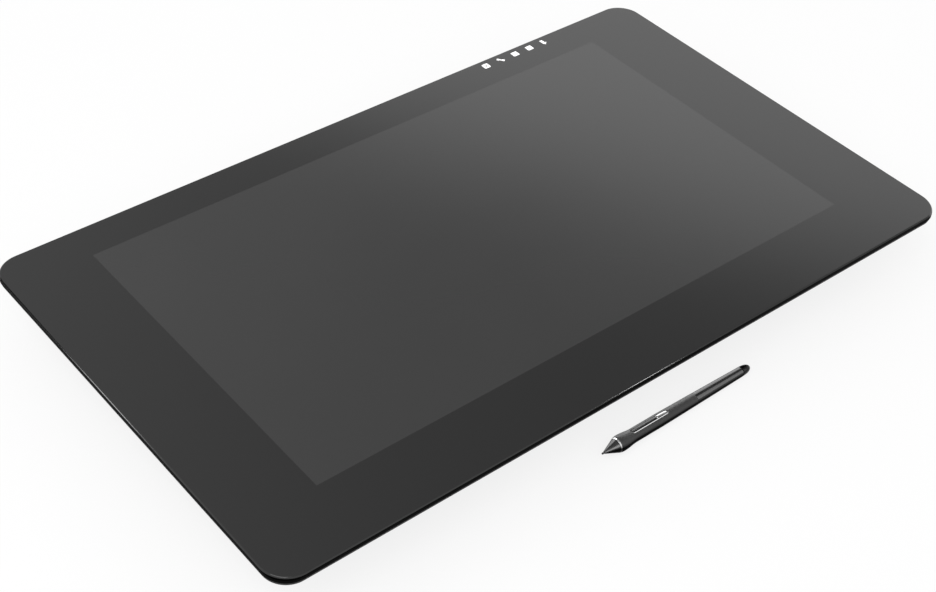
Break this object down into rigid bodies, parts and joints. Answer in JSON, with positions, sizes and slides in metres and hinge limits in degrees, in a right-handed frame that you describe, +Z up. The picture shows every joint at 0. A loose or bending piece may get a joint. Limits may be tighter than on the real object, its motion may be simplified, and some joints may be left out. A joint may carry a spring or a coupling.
{
  "type": "graphics tablet with screen",
  "caption": "Large flat pen display with an edge-to-edge glass face, fold-out legs and plug bay behind, and a loose pen with side switch and eraser.",
  "frame": {"origin": "on the table, under the middle of the box round the tablet and its pen", "axes": "+X along the front edge to the right, +Y to the back edge, +Z up out of the glass"},
  "size_m": [0.677, 0.4119, 0.047],
  "materials": {
    "cover_glass": "etched black-backed glass with a soft sheen",
    "adhesive": "black foam tape",
    "panel_glass": "dark panel glass",
    "film": "milky film",
    "acrylic": "clear acrylic",
    "circuit_board": "solder mask",
    "sheet_steel": "zinc-plated sheet",
    "frame_metal": "black satin coat",
    "gloss_black": "glossy black",
    "screw_steel": "blackened steel",
    "socket_steel": "nickel-plated shell",
    "case_plastic": "fine-grained black plastic",
    "sink_aluminium": "bare extrusion",
    "foot_rubber": "matt black rubber",
    "pen_plastic": "satin black plastic",
    "pen_rubber": "soft matt black rubber",
    "pen_nose_plastic": "glossy dark grey plastic",
    "pen_metal": "bright silver",
    "nib_plastic": "black plastic",
    "copper": "enamelled wire"
  },
  "bodies": {
    "tablet": {"cover_glass": "cover_glass", "glass_adhesive": "adhesive", "lcd_panel": "panel_glass", "diffuser_films": "film", "light_guide": "acrylic", "led_strip": "circuit_board", "backlight_tray": "sheet_steel", "pen_sensor": "circuit_board", "sensor_shield": "sheet_steel", "mid_frame": "frame_metal", "touch_key_board": "circuit_board", "main_board": "circuit_board", "sensor_board": "circuit_board", "board_screws": "screw_steel", "power_socket": "gloss_black", "hdmi_socket": "socket_steel", "displayport_socket": "socket_steel", "usb_c_socket": "socket_steel", "fan_housing": "case_plastic", "fan_screws": "screw_steel", "heat_sink": "sink_aluminium", "rear_cover": "case_plastic", "case_screws": "screw_steel", "left_exhaust_grille": "case_plastic", "right_exhaust_grille": "case_plastic", "left_intake_grille": "case_plastic", "right_intake_grille": "case_plastic", "mount_plate": "sheet_steel", "mount_plate_screws": "screw_steel", "front_feet": "foot_rubber", "rear_feet": "foot_rubber", "left_hinge_bracket": "sheet_steel", "right_hinge_bracket": "sheet_steel", "hinge_screws": "screw_steel", "left_hinge_pin": "screw_steel", "right_hinge_pin": "screw_steel"},
    "left_leg_body": {"left_leg": "case_plastic", "left_leg_pad": "foot_rubber"},
    "right_leg_body": {"right_leg": "case_plastic", "right_leg_pad": "foot_rubber"},
    "button_body": {"power_button": "gloss_black"},
    "fan_body": {"fan_rotor": "case_plastic"},
    "pen_body": {"pen_barrel": "pen_plastic", "pen_grip": "pen_rubber", "pen_nose": "pen_nose_plastic", "pen_ring": "pen_metal", "pen_coil": "copper", "pen_pressure_sensor": "socket_steel", "pen_board": "circuit_board", "pen_switch_trim": "pen_metal"},
    "nib_body": {"pen_nib": "nib_plastic"},
    "switch_body": {"pen_switch": "pen_plastic"},
    "eraser_body": {"pen_eraser": "nib_plastic"}
  },
  "joints": [
    {"name": "left_leg_hinge", "type": "hinge", "parent": "tablet", "child": "left_leg_body", "pos_m": [-0.175, 0.13395, 0.0076], "axis": [1, 0, 0], "range_deg": [0, 95]},
    {"name": "right_leg_hinge", "type": "hinge", "parent": "tablet", "child": "right_leg_body", "pos_m": [0.175, 0.13395, 0.0076], "axis": [1, 0, 0], "range_deg": [0, 95]},
    {"name": "power_button_push", "type": "slide", "parent": "tablet", "child": "button_body", "axis": [0, -1, 0], "range_m": [0, 0.0005], "stiffness_N_per_m": 200},
    {"name": "fan_spin", "type": "hinge", "parent": "tablet", "child": "fan_body", "pos_m": [0.095, 0.07495, 0.0292], "axis": [0, 0, 1], "continuous": true},
    {"name": "pen_lift", "type": "slide", "parent": "tablet", "child": "pen_body", "axis": [0, 0, 1], "range_m": [0, 0.12]},
    {"name": "nib_press", "type": "slide", "parent": "pen_body", "child": "nib_body", "axis": [0.9997, 0.014, -0.0195], "range_m": [0, 0.0008], "stiffness_N_per_m": 500},
    {"name": "pen_switch_rock", "type": "hinge", "parent": "pen_body", "child": "switch_body", "pos_m": [-0.00969, -0.19884, 0.00989], "axis": [-0.014, 0.9999, 0], "range_deg": [-3, 3], "stiffness_Nm_per_rad": 0.1},
    {"name": "eraser_press", "type": "slide", "parent": "pen_body", "child": "eraser_body", "axis": [-0.9997, -0.014, 0.0195], "range_m": [0, 0.0007], "stiffness_N_per_m": 500}
  ]
}
